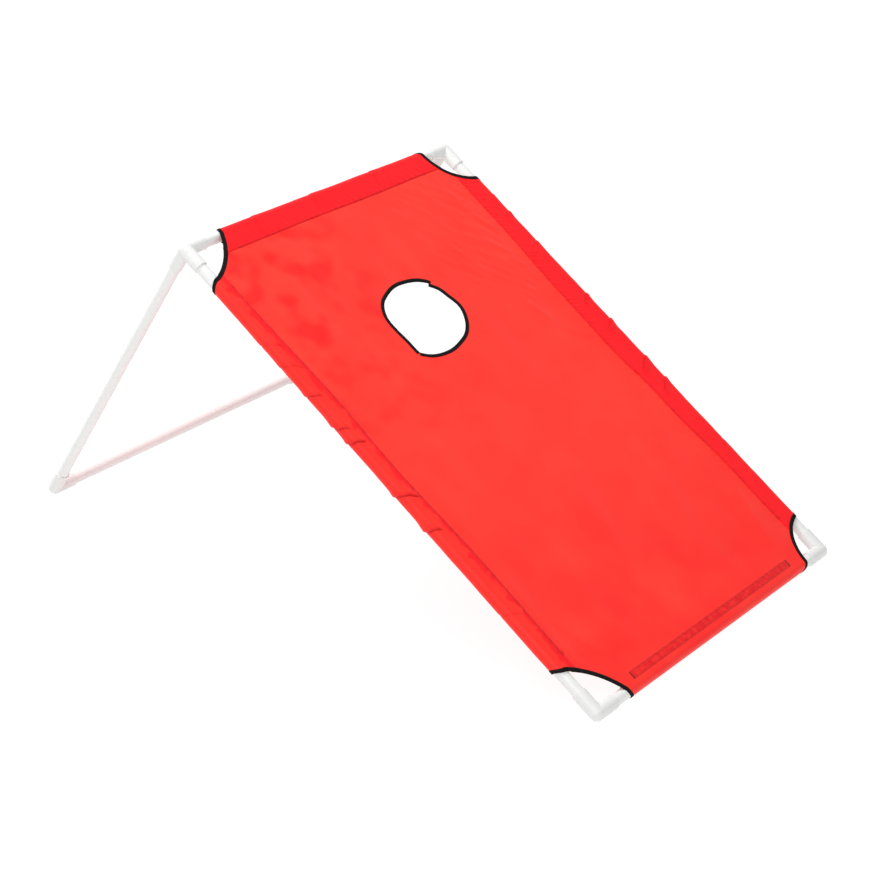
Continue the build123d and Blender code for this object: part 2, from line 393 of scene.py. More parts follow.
def woven(tree, pitch_u, pitch_v):
    """A plain weave's height, 0 to 1, with threads of these pitches, and the flat cloth's places."""
    flat = node(tree, "ShaderNodeUVMap", uv_map="flat_cloth").outputs["UV"]
    place_u, place_v = separated(tree, flat)
    wave_u = math(tree, "SINE", times(tree, place_u, 2 * pi / pitch_u))
    wave_v = math(tree, "SINE", times(tree, place_v, 2 * pi / pitch_v))
    return plus(tree, times(tree, times(tree, wave_u, wave_v), 0.5), 0.5), flat


# The deep red of painted shade along the cloth's creases.
CREASE_SHADE_RED = (0.52, 0.001, 0.003)
CLOTH_THREAD = 0.9 * MM


def cloth_material(name, colour, deep, gloss, marks=None):
    """Coated plain-weave polyester: fine weave, soft sheen, a little uneven in tone.

    marks adds the deeper colour of some places, from the tree and the flat cloth's coordinates; those
    of the deck include painted shade. A point attribute of the mesh darkens the creases with painted
    shade.
    """
    made, tree, shader = material(name, colour, 0.44, specular=gloss, sheen=0.03)
    shader.inputs["Sheen Roughness"].default_value = 0.4
    weave, flat = woven(tree, CLOTH_THREAD, CLOTH_THREAD)
    cloudy = noise(tree, flat, 9.0, 2.0)
    slubs = noise(tree, flat, 900.0, 1.0)
    tone = shared(tree, cloudy, weave, 0.75)
    shade = mixed(tree, ramped(tree, tone, 0.32, 0.72), deep, colour)
    for strength, mark_colour in marks(tree, flat) if marks else ():
        shade = mixed(tree, strength, shade, mark_colour)
    # Painted shade: the colour darkens towards the deep red along the creases, as far as the mesh's
    # point attribute gives.
    painted_crease_shade = node(tree, "ShaderNodeAttribute", attribute_name="crease_shade").outputs["Fac"]
    tree.links.new(mixed(tree, painted_crease_shade, shade, CREASE_SHADE_RED), shader.inputs["Base Color"])
    crumple = noise(tree, flat, 60.0, 3.0)
    tree.links.new(plus(tree, times(tree, crumple, 0.16), 0.36), shader.inputs["Roughness"])
    bumped(tree, shader, shared(tree, weave, slubs, 0.6), 0.12 * MM, 0.55)
    return made


def deck_shade_and_band(tree, flat):
    """Painted shade: hand-sized deeper blotches as the shadows of dents, most at the top left, and a
    deeper red towards the low end. Also the strip's band.
    """
    across, down = separated(tree, flat)
    # painted shade: the shadows of dents are strongest at the top left
    top_left = times(tree, ramped(tree, across, 0.05, -0.16), ramped(tree, down, 0.42, 0.20))
    dent_shade = ramped(tree, noise(tree, flat, 19.0, 1.0), 0.47, 0.66)
    dent_shade = times(tree, dent_shade, plus(tree, top_left, 0.12))
    cloudy = ramped(tree, noise(tree, flat, 11.0, 2.0), 0.25, 0.70)
    # painted shade: a deeper red towards the low end
    low_end_shade = times(tree, ramped(tree, down, 0.50, 0.78), cloudy)
    soft_edge = 3 * MM
    band_end, band_top = float(STRIP_HIGH[0]), DECK_TOP - STRIP_HIGH[1]
    band_low = DECK_TOP - STRIP_LOW[1]
    band = times(tree, ramped(tree, down, band_top, band_top + soft_edge),
                 ramped(tree, down, band_low, band_low - soft_edge))
    inside = ramped(tree, math(tree, "ABSOLUTE", across), band_end, band_end - soft_edge)
    uneven = ramped(tree, noise(tree, flat, 110.0, 3.0), 0.18, 0.62)
    return (
        (low_end_shade, (0.97, 0.018, 0.015)),
        (dent_shade, (0.90, 0.012, 0.010)),
        (times(tree, times(tree, band, inside), uneven), (0.72, 0.003, 0.009)),
    )


def left_sleeve_marks(tree, flat):
    """Deeper where the left sleeve lies double beside its seam, with a ragged edge."""
    from_seam, _ = separated(tree, flat)
    ragged = times(tree, plus(tree, noise(tree, flat, 45.0, 2.5), -0.5), 0.040)
    doubled = ramped(tree, plus(tree, from_seam, ragged), 12 * MM, 7 * MM)
    return ((doubled, (0.86, 0.008, 0.012)),)


def tape_material(name, colour, worn):
    """Woven tape: ribs across its width and a dull finish."""
    made, tree, shader = material(name, colour, 0.75, specular=0.12)
    weave, flat = woven(tree, 1.1 * MM, 0.7 * MM)
    fibres = noise(tree, flat, 700.0, 2.0)
    shade = mixed(tree, ramped(tree, fibres, 0.3, 0.8), colour, worn)
    tree.links.new(shade, shader.inputs["Base Color"])
    bumped(tree, shader, shared(tree, weave, fibres, 0.7), 0.15 * MM, 0.7)
    return made


def thread_material(name, colour, deep):
    """Twisted sewing thread."""
    made, tree, shader = material(name, colour, 0.5, specular=0.4, sheen=0.1)
    place = node(tree, "ShaderNodeTexCoord").outputs["Object"]
    twist = noise(tree, place, 2500.0, 1.0)
    shade = mixed(tree, ramped(tree, twist, 0.3, 0.7), deep, colour)
    tree.links.new(shade, shader.inputs["Base Color"])
    bumped(tree, shader, twist, 0.08 * MM, 0.6)
    return made


def plastic_material(name, colour, scuffed, grain, gloss):
    """White PVC: faint cloudiness, fine scuffs in the gloss and a barely uneven skin."""
    made, tree, shader = material(name, colour, gloss, specular=0.5)
    shader.inputs["Subsurface Weight"].default_value = 0.08
    shader.inputs["Subsurface Radius"].default_value = (0.004, 0.004, 0.003)
    shader.inputs["Subsurface Scale"].default_value = 1.0
    place = node(tree, "ShaderNodeTexCoord").outputs["Object"]
    clouds = noise(tree, place, 14.0, 3.0)
    scuffs = ramped(tree, noise(tree, place, 160.0, 6.0), 0.60, 0.78)
    handled = times(tree, scuffs, ramped(tree, clouds, 0.42, 0.66))
    tree.links.new(mixed(tree, handled, colour, scuffed), shader.inputs["Base Color"])
    tree.links.new(plus(tree, times(tree, handled, 0.25), gloss), shader.inputs["Roughness"])
    bumped(tree, shader, noise(tree, place, grain, 2.0), 0.05 * MM, 0.35)
    return made


# Painted light: the deck's red is lighter and oranger than the sleeves', for light shining through its
# single layer.
DECK_RED = cloth_material(
    "deck_cloth", (0.97, 0.040, 0.025), (0.95, 0.030, 0.020), 0.22, marks=deck_shade_and_band)
SLEEVE_RED = cloth_material("sleeve_cloth", (0.98, 0.007, 0.013), (0.92, 0.005, 0.010), 0.16)
LEFT_SLEEVE_RED = cloth_material(
    "left_sleeve_cloth", (0.97, 0.030, 0.021), (0.93, 0.022, 0.017), 0.18, marks=left_sleeve_marks)
BLACK_TAPE = tape_material("black_binding", (0.002, 0.002, 0.002), (0.007, 0.006, 0.007))
RED_THREAD = thread_material("seam_thread", (0.20, 0.001, 0.004), (0.11, 0.001, 0.003))
BLACK_THREAD = thread_material("binding_thread", (0.008, 0.008, 0.009), (0.003, 0.003, 0.003))
CLOSURE_TAPE = tape_material("closure_tape", (0.020, 0.020, 0.022), (0.050, 0.050, 0.052))
TUBE_WHITE = plastic_material("tube_plastic", (0.77, 0.77, 0.76), (0.62, 0.61, 0.59), 900.0, 0.34)
FITTING_WHITE = plastic_material(
    "fitting_plastic", (0.74, 0.74, 0.73), (0.59, 0.58, 0.56), 500.0, 0.40)


# ---- the shape of the cloth ----
def arc_through(side_cut, end_cut, bow):
    """Centre and radius of the circle through (0, side_cut), the bow and (end_cut, 0)."""
    points = ((0, side_cut), bow, (end_cut, 0))
    rows = [(2 * x, 2 * y, 1.0) for x, y in points]
    squares = [x * x + y * y for x, y in points]
    x, y, rest = np.linalg.solve(np.array(rows), np.array(squares))
    return float(x), float(y), sqrt(rest + x * x + y * y)


ARCS = {corner: arc_through(*cut) for corner, cut in CUTS.items()}


def corner_arc(u, s):
    """Each place's nearest corner arc: the centre's x and y from that corner, and the radius."""
    arcs = np.array([ARCS[corner] for corner in CUTS])
    nearest = np.where(s > DECK_LENGTH / 2, 0, 2) + (u > 0)
    return np.moveaxis(arcs[nearest], -1, 0)


def corner_gap(u, s):
    """How far a place in plan is inside the cloth from the nearest corner cut-out."""
    x = HALF_WIDTH - np.abs(u)
    y = np.minimum(s, DECK_LENGTH - s)
    centre_x, centre_y, radius = corner_arc(u, s)
    return np.hypot(np.maximum(x, 0) - centre_x, np.maximum(y, 0) - centre_y) - radius


def mouth(corner, beside_side_tube, x, flare):
    """How far from the corner a sleeve ends, at x from its tube to the deck.

    flare is 0 on the face of the deck and 1 where the mouth is cut back under the tube.
    """
    centre_x, centre_y, radius = ARCS[corner]
    if not beside_side_tube:
        centre_x, centre_y = centre_y, centre_x
    reach = np.maximum(x, 0) - centre_x
    return centre_y + np.sqrt(np.maximum(radius**2 - reach**2, 0)) + FLARE * flare


def hole_radius(angle):
    """The clear radius of the hole at these angles, in radians."""
    degrees = (np.degrees(angle) - HOLE_START) % 360 + HOLE_START
    upper, lower = smooth_line(HOLE_UPPER, degrees), smooth_line(HOLE_LOWER, degrees)
    blend = ease(degrees, HOLE_JOINT - 1.5, HOLE_JOINT + 1.5)
    return lower * (1 - blend) + upper * blend


def hole_gap(u, s):
    """How far a place in plan is inside the cloth from the edge of the hole."""
    away = np.hypot(u - HOLE_U, s - HOLE_S)
    return away - hole_radius(np.arctan2(s - HOLE_S, u - HOLE_U)) - TAPE_THICKNESS


def seam_ripple(s, seed):
    """Puckers where a seam gathers the cloth, about 10 mm apart, from 0 to 1."""
    return ease(wander(s, seed, 0.011), -0.6, 1.5)


def deck_waves(u, s):
    """The sag and the gentle waves of the deck cloth, where nothing holds it."""
    slack = np.clip(1 - (u / 0.29) ** 2, 0, 1) * np.clip(1 - ((s - 0.40) / 0.45) ** 2, 0, 1)
    rise = -DECK_SAG * slack
    rise = rise + 0.9 * MM * swell(u, s * 0.45, 3, 0.16)
    rise = rise + 0.35 * MM * swell(u, s * 0.6, 8, 0.06)
    upper_right = ease(u, 0.0, 0.2) * ease(s, 0.45, 0.7)
    rise = rise + 0.28 * MM * upper_right * swell(u, s, 5, 0.022, lean=0.5, spread=0.45)
    upper_left = ease(-u, 0.02, 0.18) * ease(s, 0.45, 0.65)
    return rise + 0.5 * MM * upper_left * swell(u, s, 6, 0.05, lean=-0.6, spread=0.6)


def deck_folds(u, s):
    """The pulled folds, each steep towards the side rail and gentle towards the middle."""
    rise = 0 * u
    for height, half_width, line in FOLDS:
        start, end = line[0][0], line[-1][0]
        along = ease(s, start, start + 0.02) * (1 - ease(s, end - 0.06, end))
        aside = u - smooth_line(line, s)
        width = np.where(aside * np.sign(u) > 0, 0.5, 1.5) * half_width
        rise = rise + height * along * np.exp(-((aside / width) ** 2))
    return rise


def gathered(from_seam):
    """How strongly a seam gathers the cloth, at a distance into the deck."""
    return ease(from_seam, 0, 3 * MM) * np.exp(-np.abs(from_seam) / GATHER_REACH)


def side_seams(u, s):
    """How far a place is inside the nearer side seam, and the puckers that seam gathers."""
    from_left, from_right = u - smooth_line(LEFT_SEAM, s), smooth_line(RIGHT_SEAM, s) - u
    ripple = np.where(from_left < from_right, seam_ripple(s, 11), seam_ripple(s, 12))
    return np.minimum(from_left, from_right), ripple


def deck_rise(u, s):
    """How far the deck cloth stands above its level, between the seams."""
    from_side, side_ripple = side_seams(u, s)
    from_top, from_cut = TOP_SEAM - s, corner_gap(u, s)
    hold = ease(from_side, 0, HELD) * ease(from_top, 0, HELD) * ease(s, 0.024, 0.075)
    open_cloth = ease(from_cut, 0.008, 0.02)
    rise = deck_waves(u, s) * hold * ease(from_cut, 0.006, 0.03)
    rise = rise + deck_folds(u, s) * open_cloth * ease(from_side, 0, 0.006)
    rise = rise + SIDE_GATHER * gathered(from_side) * side_ripple * open_cloth
    rise = rise + TOP_GATHER * gathered(from_top) * seam_ripple(u, 13) * open_cloth
    return rise + strip_band(u, s) * (0.10 + 0.30 * seam_ripple(u + s * 0.4, 14)) * MM


def deck_crease_shade(u, s):
    """Painted shade of the deck cloth: a dark line beside each high fold, and darkening in the hollows
    at its stitching.
    """
    crease_shade = 0 * u
    for height, _, line in FOLDS:
        start, end = line[0][0], line[-1][0]
        along = ease(s, start, start + 0.01) * (1 - ease(s, start + 0.05, end))
        aside = (u - smooth_line(line, s)) * np.sign(u)
        # painted shade: a dark line just to the rail side of each fold's ridge
        dark = np.exp(-(((aside - 2 * MM) / (2.2 * MM)) ** 2))
        depth = 0.36 * min(1, (height - LOW_FOLD) / (0.4 * MM))
        crease_shade = np.maximum(crease_shade, dark * along * depth)
    from_side, side_ripple = side_seams(u, s)
    # painted shade in the hollows between the side seams' puckers
    dip_shade = np.exp(-np.maximum(from_side, 0) / 0.006) * ease(side_ripple, 0.35, 0.0) * 0.18
    # painted shade in the hollows along the rows that hold the strip
    rows = np.abs(s - (STRIP_LOW[1] + STRIP_HIGH[1]) / 2) / (STRIP_HIGH[1] - STRIP_LOW[1]) * 2
    strip_dip_shade = strip_band(u, s) * ease(rows, 0.2, 0.7) * ease(seam_ripple(u + s, 14), 0.40, 0.0) * 0.40
    return np.clip(np.maximum(np.maximum(crease_shade, dip_shade), strip_dip_shade), 0, 1)


def strip_band(u, s):
    """1 over the loop strip sewn under the deck, 0 elsewhere."""
    across = ease(s, STRIP_LOW[1] + 1 * MM, STRIP_LOW[1] + 5 * MM)
    across = across * (1 - ease(s, STRIP_HIGH[1] - 4 * MM, STRIP_HIGH[1] - 1 * MM))
    return across * (1 - ease(np.abs(u), STRIP_HIGH[0] - 6 * MM, STRIP_HIGH[0]))


def sleeve_section(radius, seam, bend):
    """A sleeve's section round a tube, from the seam over the tube and back under the deck.

    Gives x towards the deck, n, the outward normal and the flare of the mouth, of the middle
    of the cloth. seam and bend are arrays, one value for each station along the tube.
    """
    bend_n = np.full_like(bend, CLOTH_UNDER - CLOTH / 2)
    leave = np.arctan2(bend_n, bend) - np.arccos(radius / np.hypot(bend, bend_n))
    level = 0 * seam
    rows = []
    for t in np.linspace(0, 1, 13)[:-1]:
        dip = 0.12 * MM * (1 - ease(t, 0, 0.1))
        rows.append((seam * (1 - t), radius - dip + level, level, level + 1, level))
    for t in np.linspace(0, 1, 23):
        angle = pi / 2 + t * (leave + 3 * pi / 2)
        flare = ease((angle - pi / 2) * radius, 0.0, FLARE_WAY)
        normal_x, normal_n = np.cos(angle), np.sin(angle)
        rows.append((radius * normal_x, radius * normal_n, normal_x, normal_n, flare))
    for t in np.linspace(0, 1, 8)[1:]:
        x = radius * np.cos(leave) * (1 - t) + bend * t
        n = radius * np.sin(leave) * (1 - t) + bend_n * t
        rows.append((x, n, np.cos(leave), np.sin(leave), level + 1 - ease(t, 0.3, 1.0)))
    for t in np.linspace(0, 1, 5)[1:]:
        rows.append((bend * (1 - t) + seam * t, bend_n, level, level - 1, level))
    return [np.stack(column) for column in zip(*rows)]


def pucker_shape(sleeve, along, around):
    """A sleeve's stand-off and the painted shade of its creases, along the tube and around from 0 at
    the seam to 1.

    A pucker crosses the outside of the tube square and turns down the tube towards the seam.
    """
    height = 0.28 * MM * ease(swell(along, around * 0.03, sleeve["seed"], 0.05), -0.5, 1.8)
    crease_shade = 0 * height
    rng = np.random.default_rng(sleeve["seed"])
    for place, rise, reach in sleeve["puckers"]:
        drop = sleeve["drop"] * rng.uniform(0.7, 1.3)
        share = 1 - around / sleeve["outside"]
        offset = along - place + drop * np.sign(share) * np.abs(share) ** rng.uniform(0.85, 1.35)
        offset = offset + 0.5 * MM * np.sin(around * 40 + rng.uniform(0, 2 * pi))
        offset = offset * sleeve["steep_side"]
        shape = np.exp(-np.abs(offset / np.where(offset < 0, reach * 0.22, reach)) ** 1.5)
        start = rng.uniform(0.02, 0.5) * sleeve["outside"]
        end = sleeve["outside"] + UNDER_REACH
        fade = ease(around, start, start + 0.10) * (1 - ease(around, end, end + 0.12))
        foot = np.exp(-(((offset + reach * 0.34) / CREASE_WIDTH) ** 2))
        height = height + (rise * shape - CREASE_DEPTH * foot) * fade
        # painted shade: a dark line in the groove at each pucker's foot, and a soft shade beside the
        # pucker
        shaded = np.exp(-(((offset - reach * 0.2) / (reach * 0.7)) ** 2))
        dark = (0.85 * foot + 0.16 * shaded) * min(1, rise / (1.6 * MM))
        crease_shade = np.maximum(crease_shade, dark * fade)
    return height, crease_shade


def sleeve_shape(name, along, around):
    """The whole stand-off of a sleeve and the painted shade of its creases, which die out at its ends
    and underneath.
    """
    sleeve = SLEEVES[name]
    height, crease_shade = pucker_shape(sleeve, along, around)
    height = height * (1 - ease(around, 0.70, 0.95))
    gather = seam_ripple(along + around * 0.05, sleeve["seed"] + 30)
    near_seam = np.exp(-around / 0.09) * ease(around, 0.0, 0.04)
    low, high = sleeve["ends"]
    ends = ease(along - low, 0.012, 0.035) * ease(high - along, 0.012, 0.035)
    patchy = ease(wander(along, sleeve["seed"] + 40, 0.05), -0.8, 1.2)
    # painted shade in the hollows between the puckers beside the seam
    dip_shade = np.exp(-around / 0.05) * ease(gather, 0.35, 0.0) * 0.5 * patchy
    crease_shade = np.clip(np.maximum(crease_shade, dip_shade), 0, 1) * ends
    return (height + SIDE_GATHER * gather * near_seam) * ends, crease_shade


SIDE_ENDS = (CORNER_CUT, DECK_LENGTH - CORNER_CUT)
TOP_ENDS = (CORNER_CUT - HALF_WIDTH, HALF_WIDTH - CORNER_CUT)
# outside is where a pucker crosses the outside of its sleeve, drop is how far it falls from there
# to the seam, and steep_side is the way its steep side faces along the tube.
SLEEVES = {
    "left": {
        "seam": LEFT_SEAM, "puckers": LEFT_PUCKERS, "seed": 21,
        "outside": 0.50, "drop": 0.025, "steep_side": 1,
        "corners": ("bottom_left", "top_left"), "ends": SIDE_ENDS,
    },
    "right": {
        "seam": RIGHT_SEAM, "puckers": RIGHT_PUCKERS, "seed": 22,
        "outside": 0.41, "drop": 0.034, "steep_side": -1,
        "corners": ("bottom_right", "top_right"), "ends": SIDE_ENDS,
    },
    "top": {
        "puckers": TOP_PUCKERS, "seed": 23,
        "outside": 0.45, "drop": 0.012, "steep_side": 1,
        "corners": ("top_left", "top_right"), "ends": TOP_ENDS,
    },
}


def seam_distance(name, along):
    """From the tube's axis to the sleeve's seam edge, at places along the tube."""
    if name == "top":
        return DECK_LENGTH - TOP_SEAM + 0.6 * MM * np.sin(along / 0.045)
    return HALF_WIDTH - np.abs(smooth_line(SLEEVES[name]["seam"], along))


def sleeve_place(name, x, along, n):
    """Deck coordinates of a place beside a sleeve's tube, x towards the deck."""
    if name == "top":
        return np.stack([along, DECK_LENGTH - x, n], -1)
    side = -1 if name == "left" else 1
    return np.stack([side * (HALF_WIDTH - x), along, n], -1)


def make_sleeve(name):
    """One sewn sleeve: both layers, open at its ends along the corner cut-outs.

    Gives the piece and the width and length of its flat strip.
    """
    whole = HALF_WIDTH * 2 if name == "top" else DECK_LENGTH
    start = -HALF_WIDTH if name == "top" else 0.0
    stations = int((whole - 2 * CORNER_CUT) / STATION)
    share = np.linspace(0, 1, stations)
    along = start + CORNER_CUT + share * (whole - 2 * CORNER_CUT)
    seam = seam_distance(name, along)
    bend = np.maximum(seam - SEAM_ALLOWANCE, TUBE_R)
    x, n, normal_x, normal_n, flare = sleeve_section(SLEEVE_MID, seam, bend)
    low, high = (mouth(corner, name != "top", x, flare) for corner in SLEEVES[name]["corners"])
    along = start + low + share * (whole - low - high)
    steps = np.hypot(np.diff(x, axis=0), np.diff(n, axis=0))
    length = np.concatenate([0 * seam[None], np.cumsum(steps, axis=0)])
    around = length / length[-1]
    # the stand-off, and the painted shade of the creases
    height, crease_shade = sleeve_shape(name, along, around)
    points = sleeve_place(name, x + normal_x * height, along, n + normal_n * height)
    flat = np.stack([length, along], -1)
    piece = new_piece(
        f"{name}_sleeve_cloth", points.reshape(-1, 3), grid_faces(*x.shape),
        LEFT_SLEEVE_RED if name == "left" else SLEEVE_RED, flat.reshape(-1, 2), crease_shade.ravel())
    outward_faces(piece)
    add_to_deck(piece, "sleeve_cloth", f"{name}_sleeve")
    return thicken(piece), float(length[-1].mean()), float(whole - 2 * CORNER_CUT)


def wrap_rows():
    """The deck cloth's way round the bottom rail: s, n and the flare of its ends."""
    radius = DECK_MID
    leave = atan2(FLAP_LEVEL, FLAP_BEND) - acos(radius / hypot(FLAP_BEND, FLAP_LEVEL))
    rows = []
    for t in np.linspace(0, 1, 25)[1:]:
        angle = pi / 2 + t * (leave + 3 * pi / 2)
        flare = float(ease((angle - pi / 2) * radius, 0.0, FLARE_WAY))
        rows.append((radius * cos(angle), radius * sin(angle), flare))
    start = rows[-1]
    for t in (0.5, 1.0):
        rows.append((start[0] * (1 - t) + FLAP_BEND * t, start[1] * (1 - t) + FLAP_LEVEL * t, 1.0))
    for t in np.linspace(0, 1, 5)[1:]:
        rows.append((FLAP_BEND * (1 - t) + FLAP_END * t, FLAP_LEVEL, 1.0))
    return np.array(rows)


def make_deck_cloth():
    """The deck: one sheet from the top sleeve down to the flap that closes round the rail.

    Gives the piece, its flat width and length, and the area of cloth left by the cut-outs.
    """
    open_s = np.linspace(DECK_TOP, FLAP_END, int(DECK_TOP / GRID))
    deck_s = np.concatenate([open_s[:-1], np.linspace(FLAP_END, 0, 13)])
    wrap = wrap_rows()
    row_s = np.concatenate([deck_s, wrap[:, 0]])
    row_n = np.concatenate([np.full(len(deck_s), DECK_MID), wrap[:, 1]])
    row_flare = np.concatenate([np.zeros(len(deck_s)), wrap[:, 2]])
    flat_v = travelled(np.stack([row_s, row_n], -1))
    left = smooth_line(LEFT_SEAM, row_s) - SEAM_ALLOWANCE
    right = smooth_line(RIGHT_SEAM, row_s) + SEAM_ALLOWANCE
    columns = int((right[0] - left[0]) / GRID)
    u = (left[:, None] + np.linspace(0, 1, columns) * (right - left)[:, None]).ravel()
    s, n, flare, flat_rows = (np.repeat(row, columns) for row in (row_s, row_n, row_flare, flat_v))
    on_deck = np.repeat(np.arange(len(row_s)) < len(deck_s), columns)
    wrap_end = HALF_WIDTH - np.where(
        u > 0, mouth("bottom_right", False, 0.0, flare), mouth("bottom_left", False, 0.0, flare))

    faces = grid_faces(len(row_s), columns)
    gap = np.where(on_deck, np.minimum(corner_gap(u, s), hole_gap(u, s)), wrap_end - np.abs(u))
    inside = gap[faces].mean(1) > 0
    kept = faces[inside]
    snap_to_outline(u, s, np.intersect1d(kept, faces[~inside]), on_deck, wrap_end)
    n = np.where(on_deck, DECK_MID + deck_rise(u, s), n)
    # painted shade of the creases, for the cloth colour
    crease_shade = np.where(on_deck, deck_crease_shade(u, s), 0.0)

    used = np.unique(kept)
    order = np.full(len(u), -1)
    order[used] = np.arange(len(used))
    flat = np.stack([u, flat_rows], -1)
    piece = new_piece(
        "deck_cloth_sheet", np.stack([u, s, n], -1)[used], order[kept], DECK_RED, flat[used],
        crease_shade[used])
    outward_faces(piece)
    add_to_deck(piece, "deck_cloth", "deck_panel", "bottom_sleeve")
    return thicken(piece), (float((right - left).max()), float(flat_v[-1])), flat_area(flat, kept)


def flat_area(flat, faces):
    """The area of quads on the flat cloth."""
    a, b = flat[faces[:, 2]] - flat[faces[:, 0]], flat[faces[:, 3]] - flat[faces[:, 1]]
    return float(np.abs(a[:, 0] * b[:, 1] - a[:, 1] * b[:, 0]).sum() / 2)


def snap_to_outline(u, s, edge, on_deck, wrap_end):
    """Moves the edge points of the cut sheet onto the nearest outline, hole or corner."""
    for i in edge:
        away_u, away_s = u[i] - HOLE_U, s[i] - HOLE_S
        if on_deck[i] and hypot(away_u, away_s) < NEAR_HOLE:
            angle = atan2(away_s, away_u)
            radius = float(hole_radius(angle)) + TAPE_THICKNESS
            u[i], s[i] = HOLE_U + radius * cos(angle), HOLE_S + radius * sin(angle)
            continue
        side = 1 if u[i] > 0 else -1
        x, low = HALF_WIDTH - abs(u[i]), s[i] < DECK_LENGTH / 2
        y = s[i] if low else DECK_LENGTH - s[i]
        if not on_deck[i] or y <= 0:
            u[i] = side * wrap_end[i]
            continue
        centre_x, centre_y, radius = (float(value) for value in corner_arc(u[i], s[i]))
        scale = radius / hypot(x - centre_x, y - centre_y)
        x, y = centre_x + (x - centre_x) * scale, max(centre_y + (y - centre_y) * scale, 0.0)
        u[i] = side * (HALF_WIDTH - x)
        s[i] = y if low else DECK_LENGTH - y


# ---- bindings ----
def corner_loop(corner, side_name, end_name):
    """The edge of the cloth round one cut-out, on its outer face, as a closed loop.

    x and y run from the corner into the deck, across and along the side rail. Gives places,
    the way into the cloth and the outward normal.
    """
    centre_x, centre_y, radius = ARCS[corner]
    side_section, end_section = edge_section(side_name, corner), edge_section(end_name, corner)
    places, into, normals = [], [], []

    def add(x, y, n, turn, normal):
        places.append((x, y, n))
        into.append((cos(turn), sin(turn), 0.0))
        normals.append(normal)

    def turn_at(x, y):
        return atan2(max(y, 0) - centre_y, max(x, 0) - centre_x)

    def end_of(beside_side_tube, across, flare=0.0):
        return float(mouth(corner, beside_side_tube, across, flare))

    def past_tube(across):
        return min(1, max(0, -across) / (TUBE_R * 0.7))

    def arc(side_x, end_y, n, normal, backwards=False):
        """From a side sleeve's seam to an end sleeve's seam, on one face of the deck."""
        first, last = turn_at(side_x, end_of(True, side_x)), turn_at(end_of(False, end_y), end_y)
        angles = np.linspace(*((last, first) if backwards else (first, last)), 16)[1:-1]
        for angle in angles:
            add(centre_x + radius * cos(angle), centre_y + radius * sin(angle), n, angle, normal)

    for x, n, normal_x, normal_n, flare in reversed(side_section):
        turn = turn_at(x, end_of(True, x))
        turn = turn + (pi / 2 - turn) * max(past_tube(x), flare)
        add(x, end_of(True, x, flare), n, turn, (normal_x, 0.0, normal_n))
    arc(side_section[0][0], end_section[0][0], CLOTH_TOP, (0, 0, 1.0))
    for y, n, normal_y, normal_n, flare in end_section:
        turn = turn_at(end_of(False, y), y) * (1 - max(past_tube(y), flare))
        add(end_of(False, y, flare), y, n, turn, (0.0, normal_y, normal_n))
    arc(side_section[-1][0], end_section[-1][0], CLOTH_UNDER, (0, 0, -1.0), backwards=True)
    return np.array(places), np.array(into), np.array(normals)


def edge_section(name, corner):
    """The outer face of a sleeve's section at its cut end, from its seam round to underneath."""
    if name == "bottom":
        rows = [(x, DECK_MID, 0.0, 1.0, 0.0) for x in np.linspace(14 * MM, 0, 4)]
        for x, n, flare in wrap_rows():
            size = hypot(x, n)
            flap = x > TUBE_R and n > 0
            rows.append((x, n, 0.0 if flap else x / size, -1.0 if flap else n / size, flare))
    else:
        end = SLEEVES[name]["ends"][SLEEVES[name]["corners"].index(corner)]
        seam = np.array([float(seam_distance(name, np.array(end)))])
        bend = np.maximum(seam - SEAM_ALLOWANCE, TUBE_R)
        rows = list(zip(*(a[:, 0] for a in sleeve_section(SLEEVE_MID, seam, bend))))
    half = CLOTH / 2
    return [(x + nx * half, n + nn * half, nx, nn, flare) for x, n, nx, nn, flare in rows]


def tape_profile():
    """Half of a folded tape: depth into the cloth and height above it, round its section."""
    wide, thick = TAPE_WIDTH, TAPE_THICKNESS
    return np.array([
        (wide, 0.03 * MM), (wide + 0.02 * MM, thick * 0.55), (wide - 0.25 * MM, thick),
        (wide * 0.66, thick * 1.04), (wide * 0.33, thick * 0.98), (0.3 * MM, thick * 1.05),
        (-0.28 * MM, thick * 0.75), (-thick, 0.0), (-thick * 1.02, -0.8 * MM),
        (-0.04 * MM, -0.8 * MM), (-0.04 * MM, 0.0), (wide * 0.5, 0.03 * MM),
    ])


def sew_binding(name, points, faces, flat, row):
    """The tape that shows a binding's node, and its row of stitches."""
    tape = new_piece(f"{name}_tape", points.reshape(-1, 3), faces, BLACK_TAPE, flat)
    finish_solid(tape)
    add_to_deck(tape, "black_binding", name)
    thread = make_stitches(
        f"{name}_stitches", [row], BLACK_THREAD, BINDING_PITCH, BINDING_STITCH_WIDTH)
    add_to_deck(thread, "black_binding")
    return tape, thread


def make_corner_binding(corner):
    """The binding of one corner cut-out, with its row of stitches."""
    end_name, side_name = corner.split("_")
    flip = np.array([-1 if side_name == "right" else 1, 1 if end_name == "bottom" else -1, 1])
    origin = np.array([-HALF_WIDTH * flip[0], 0 if end_name == "bottom" else DECK_LENGTH, 0])
    places, into, normals = corner_loop(corner, side_name, end_name)
    profile = tape_profile()
    points = places[:, None] + into[:, None] * profile[:, :1] + normals[:, None] * profile[:, 1:]
    count, around = points.shape[:2]
    faces = grid_faces(count + 1, around, closed=True) % (count * around)
    row = origin + (places + into * TAPE_ROW + normals * (TAPE_THICKNESS * 1.02)) * flip
    closed = [np.concatenate([line, line[:1]]) for line in (row, normals * flip)]
    sew_binding(
        f"{corner}_binding", origin + points * flip, faces, unrolled(places, profile), closed)


